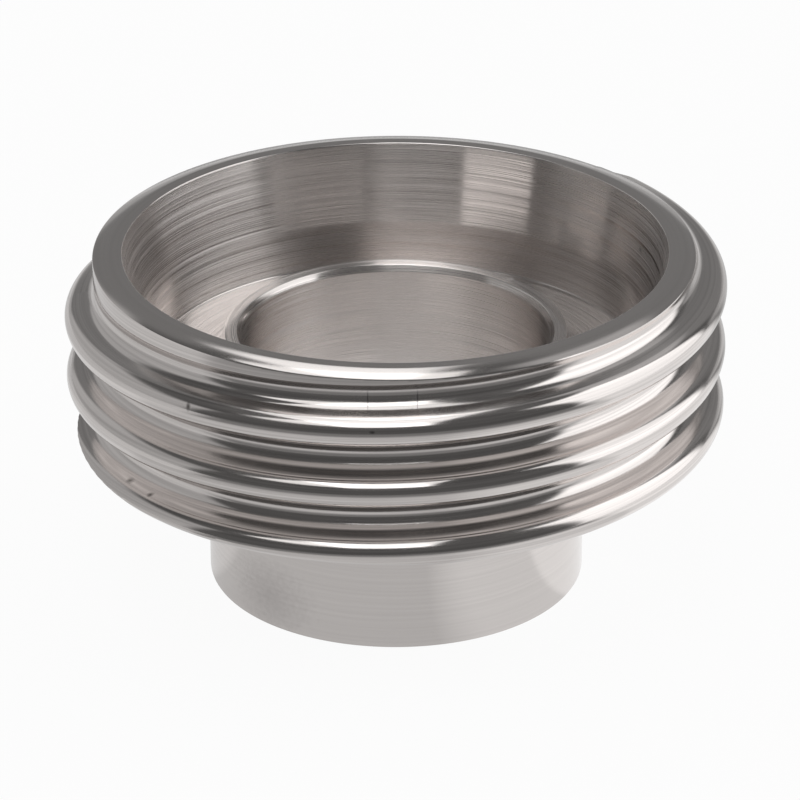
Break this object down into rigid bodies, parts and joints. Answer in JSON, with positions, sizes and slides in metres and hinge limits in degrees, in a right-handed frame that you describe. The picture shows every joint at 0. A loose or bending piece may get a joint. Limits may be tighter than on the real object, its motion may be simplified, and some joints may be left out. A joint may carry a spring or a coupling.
{
  "type": "round-thread sanitary union male part",
  "caption": "Turned stainless union half: round-thread head open at the top, with a tapered seat and a gasket groove, above a plain weld spigot with a through bore.",
  "frame": {"origin": "centre of the spigot's end face, at the bottom", "axes": "+Z along the bore axis, from the weld spigot towards the open mouth; the thread starts 42 degrees counter-clockwise from +X"},
  "size_m": [0.044, 0.044, 0.0233],
  "materials": {
    "stainless": "fine turned, satin"
  },
  "bodies": {
    "root": {"male_part": "stainless"}
  },
  "joints": []
}
